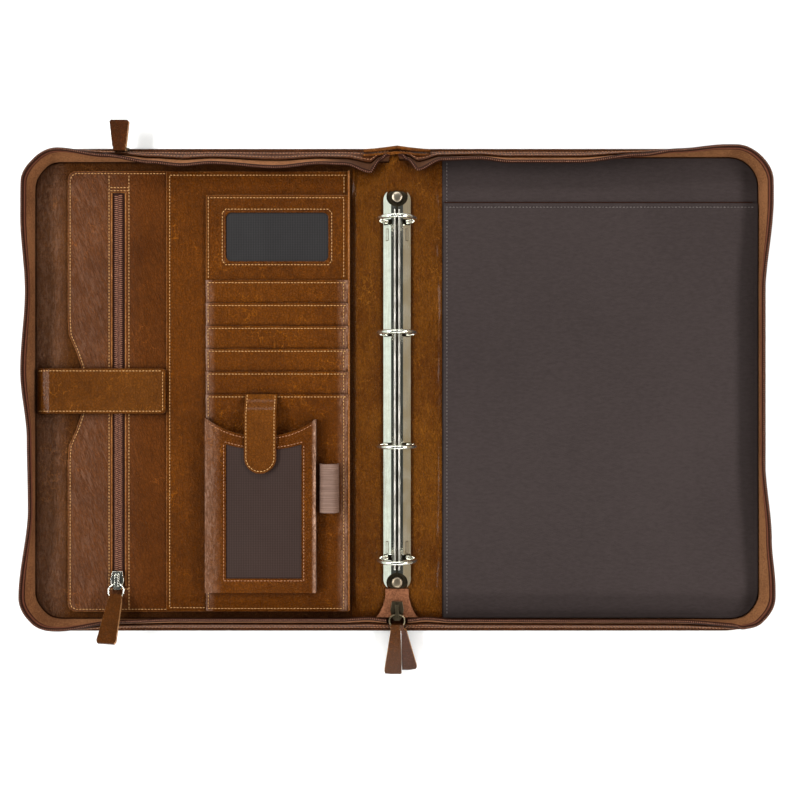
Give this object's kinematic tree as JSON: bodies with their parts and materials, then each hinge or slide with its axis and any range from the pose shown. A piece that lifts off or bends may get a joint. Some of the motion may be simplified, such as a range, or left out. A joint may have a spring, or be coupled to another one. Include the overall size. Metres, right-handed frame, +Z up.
{
  "type": "zip-around leather document case with ring binder",
  "caption": "Zip-around leather document case for A4 papers lying open flat, with a ring binder on the spine, card slots, a phone pocket, a pen loop and a zipped pocket.",
  "frame": {"origin": "on the surface the case lies on, under the middle of the spine", "axes": "+Z up out of the open case, +Y along the spine away from the zip sliders, +X towards the writing-pad half"},
  "size_m": [0.534, 0.3969, 0.0367],
  "materials": {
    "leather": "semi-gloss, rubbed",
    "dark_leather": "satin",
    "zip_tape": "woven tape",
    "coil": "satin",
    "cloth": "fine twill",
    "film": "clear film over a dark pocket",
    "elastic": "ribbed elastic",
    "nickel": "bright nickel plate",
    "old_nickel": "antique nickel"
  },
  "bodies": {
    "case": {"outer_cover": "dark_leather", "left_lining": "leather", "right_lining": "cloth", "spine_leather": "leather", "gusset_strip_left": "leather", "zip_tape_left": "zip_tape", "zip_teeth_left": "coil", "gusset_strip_right": "leather", "zip_tape_right": "zip_tape", "zip_teeth_right": "coil", "document_pocket": "leather", "pocket_zip": "coil", "overlay_panel": "leather", "card_panel": "leather", "id_frame": "leather", "id_window": "film", "card_slot_1": "leather", "card_slot_2": "leather", "card_slot_3": "leather", "card_slot_4": "leather", "card_slot_5": "leather", "lower_card_panel": "leather", "phone_pocket": "leather", "phone_window": "film", "phone_tab": "leather", "pen_loop": "elastic", "strap": "leather", "pad_pocket": "cloth", "ring_housing": "nickel", "rivet_top": "nickel", "rivet_bottom": "nickel", "zip_end_tab": "zip_tape", "main_slider": "old_nickel", "main_wire_ring": "old_nickel", "main_pull_left": "leather", "main_pull_right": "leather", "pocket_slider": "nickel", "pocket_wire_ring": "nickel", "pocket_pull": "leather", "outer_slider": "old_nickel", "outer_pull": "leather"},
    "left_rings": {"ring_blade_left": "nickel", "half_ring_left_1": "nickel", "half_ring_left_2": "nickel", "half_ring_left_3": "nickel", "half_ring_left_4": "nickel"},
    "right_rings": {"ring_blade_right": "nickel", "half_ring_right_1": "nickel", "half_ring_right_2": "nickel", "half_ring_right_3": "nickel", "half_ring_right_4": "nickel"}
  },
  "joints": [
    {"name": "left_rings_open", "type": "hinge", "parent": "case", "child": "left_rings", "pos_m": [-0.0085, 0, 0.00745], "axis": [0, -1, 0], "range_deg": [0, 14]},
    {"name": "right_rings_open", "type": "hinge", "parent": "case", "child": "right_rings", "pos_m": [0.0085, 0, 0.00745], "axis": [0, 1, 0], "range_deg": [0, 14]}
  ],
  "couplings": [
    {"joint": "right_rings_open", "follows": "left_rings_open", "ratio": 1}
  ]
}
